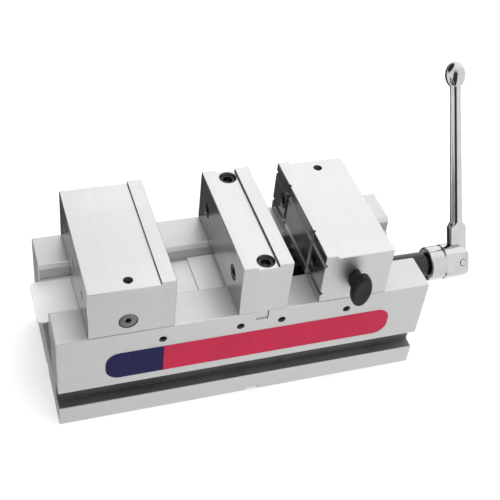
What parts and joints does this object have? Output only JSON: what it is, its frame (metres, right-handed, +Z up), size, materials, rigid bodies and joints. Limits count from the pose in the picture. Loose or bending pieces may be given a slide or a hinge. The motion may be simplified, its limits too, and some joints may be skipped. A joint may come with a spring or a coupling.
{
  "type": "dual station machine vise",
  "caption": "Dual station machine vise: a fixed jaw bolted across a channelled bed, a sliding jaw on either side of it, a lead screw and a folding crank.",
  "frame": {"origin": "middle of the bed's underside, on the table", "axes": "+X along the bed towards the crank, +Y towards the rear side, +Z up"},
  "size_m": [0.4862, 0.2092, 0.2664],
  "materials": {
    "bed_iron": "ground",
    "jaw_steel": "ground",
    "plate_steel": "hardened and ground",
    "sheet_steel": "cold rolled",
    "black_steel": "black oxide",
    "chrome": "polished",
    "bronze": "machined",
    "knob_plastic": "moulded"
  },
  "bodies": {
    "bed_body": {"vise_bed": "bed_iron", "fixed_jaw": "jaw_steel", "fixed_jaw_left_plate": "plate_steel", "fixed_jaw_right_plate": "plate_steel", "fixed_left_plate_screw_front": "black_steel", "fixed_left_plate_screw_rear": "black_steel", "fixed_right_plate_screw_front": "black_steel", "fixed_right_plate_screw_rear": "black_steel", "bed_bolt_front": "black_steel", "bed_bolt_rear": "black_steel", "channel_cover": "sheet_steel", "cover_screw_front": "black_steel", "cover_screw_rear": "black_steel"},
    "left_station": {"left_jaw": "jaw_steel", "left_jaw_plate": "plate_steel", "left_plate_screw_front": "black_steel", "left_plate_screw_rear": "black_steel", "left_jaw_top_screw": "black_steel", "left_jaw_retaining_screw": "black_steel", "left_jaw_side_plug": "black_steel", "left_ball_segment": "jaw_steel", "left_nut": "bronze", "channel_guard": "sheet_steel", "guard_screw_front": "black_steel", "guard_screw_rear": "black_steel"},
    "right_station": {"right_jaw": "jaw_steel", "right_jaw_plate": "plate_steel", "right_plate_screw_front": "black_steel", "right_plate_screw_rear": "black_steel", "right_jaw_top_screw": "black_steel", "right_jaw_retaining_screw": "black_steel", "right_ball_segment": "jaw_steel", "right_carriage": "jaw_steel", "brake_pin": "bronze", "thrust_race_inner": "jaw_steel"},
    "brake_screw": {"brake_knob": "knob_plastic", "brake_stud": "black_steel"},
    "screw_assembly": {"lead_screw": "black_steel", "needle_cage": "bronze", "thrust_race_outer": "jaw_steel", "retaining_collar": "black_steel", "collar_set_screw": "black_steel", "crank_hub": "chrome", "crank_pin": "chrome"},
    "handle_body": {"crank_handle": "chrome"}
  },
  "joints": [
    {"name": "right_jaw_slide", "type": "slide", "parent": "bed_body", "child": "right_station", "axis": [1, 0, 0], "range_m": [-0.0325, 0.025]},
    {"name": "screw_turn", "type": "hinge", "parent": "right_station", "child": "screw_assembly", "pos_m": [0, 0, 0.07], "axis": [1, 0, 0], "range_deg": [-4572, 1440]},
    {"name": "left_jaw_slide", "type": "slide", "parent": "bed_body", "child": "left_station", "axis": [1, 0, 0], "range_m": [-0.0201, 0.0636]},
    {"name": "crank_fold", "type": "hinge", "parent": "screw_assembly", "child": "handle_body", "pos_m": [0.273, 0, 0.07], "axis": [0, 0.8771, -0.4802], "range_deg": [0, 90]},
    {"name": "brake_turn", "type": "hinge", "parent": "right_station", "child": "brake_screw", "pos_m": [0.1026, -0.075, 0.147], "axis": [0, -1, 0], "range_deg": [0, 180]}
  ],
  "couplings": [
    {"joint": "left_jaw_slide", "follows": "screw_turn", "m_per_rad": -0.00079577}
  ]
}
